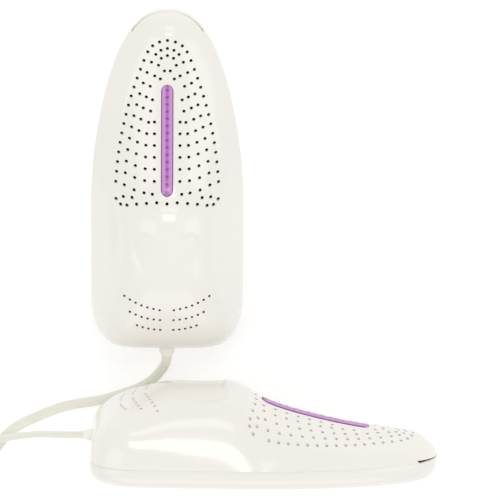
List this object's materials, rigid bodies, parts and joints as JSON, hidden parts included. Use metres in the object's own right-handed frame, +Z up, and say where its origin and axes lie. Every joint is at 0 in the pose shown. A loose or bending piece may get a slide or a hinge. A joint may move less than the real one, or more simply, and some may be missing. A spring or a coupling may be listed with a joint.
{
  "type": "boot dryer",
  "caption": "Pair of foot-shaped electric boot dryers with vented crowns, violet light strips and thumb scoops, joined by flat cords to a coiled mains lead with a flat plug.",
  "frame": {"origin": "on the table, under the middle of the box round the two dryers", "axes": "+Z up from the table; +Y along the left dryer from its heel to its toe; +X along the right dryer, which lies on its flank, from its heel to its toe"},
  "size_m": [0.3817, 0.2592, 0.0788],
  "materials": {
    "shell_top": "glossy warm-white moulded plastic",
    "shell_sole": "glossy warm-white moulded plastic",
    "lens": "violet translucent, ribbed across",
    "lamp_glass": "clear tube, frosted inside",
    "holder": "heat-proof moulding",
    "reflector": "polished sheet",
    "carrier": "red-brown laminate board",
    "heater_film": "amber film wrap",
    "heat_sink": "extruded, satin",
    "fuse": "drawn can",
    "board": "laminate with solder mask",
    "film_capacitor": "dipped resin",
    "filter_capacitor": "sleeved can",
    "transformer": "taped winding on a core",
    "clamp": "moulded",
    "relief": "soft moulding, satin",
    "lead": "insulated stranded wire",
    "screw": "zinc plated",
    "cord": "satin cream cable sheath",
    "tie": "flat band",
    "plug": "soft moulding, satin",
    "pin": "nickel-plated brass"
  },
  "bodies": {
    "root": {"top_shell_left": "shell_top", "sole_shell_left": "shell_sole", "light_lens_left": "lens", "uv_lamp_left": "lamp_glass", "lamp_holder_front_left": "holder", "lamp_holder_rear_left": "holder", "reflector_left": "reflector", "heater_carrier_left": "carrier", "ptc_heater_left": "heater_film", "heat_sink_left": "heat_sink", "thermal_fuse_left": "fuse", "circuit_board_left": "board", "film_capacitor_left": "film_capacitor", "filter_capacitor_left": "filter_capacitor", "lamp_transformer_left": "transformer", "cord_clamp_left": "clamp", "strain_relief_left": "relief", "heater_lead_live_left": "lead", "heater_lead_return_left": "lead", "lamp_lead_front_left": "lead", "lamp_lead_rear_left": "lead", "sole_screw_1_left": "screw", "sole_screw_2_left": "screw", "sole_screw_3_left": "screw", "sole_screw_4_left": "screw", "top_shell_right": "shell_top", "sole_shell_right": "shell_sole", "light_lens_right": "lens", "uv_lamp_right": "lamp_glass", "lamp_holder_front_right": "holder", "lamp_holder_rear_right": "holder", "reflector_right": "reflector", "heater_carrier_right": "carrier", "ptc_heater_right": "heater_film", "heat_sink_right": "heat_sink", "thermal_fuse_right": "fuse", "circuit_board_right": "board", "film_capacitor_right": "film_capacitor", "filter_capacitor_right": "filter_capacitor", "lamp_transformer_right": "transformer", "cord_clamp_right": "clamp", "strain_relief_right": "relief", "heater_lead_live_right": "lead", "heater_lead_return_right": "lead", "lamp_lead_front_right": "lead", "lamp_lead_rear_right": "lead", "sole_screw_1_right": "screw", "sole_screw_2_right": "screw", "sole_screw_3_right": "screw", "sole_screw_4_right": "screw", "branch_cord_left": "cord", "branch_cord_right": "cord", "main_cord": "cord", "cord_coil": "cord", "plug_cord": "cord", "y_splitter": "plug", "coil_tie": "tie", "plug_body": "plug", "plug_pin_1": "pin", "plug_pin_2": "pin"}
  },
  "joints": []
}
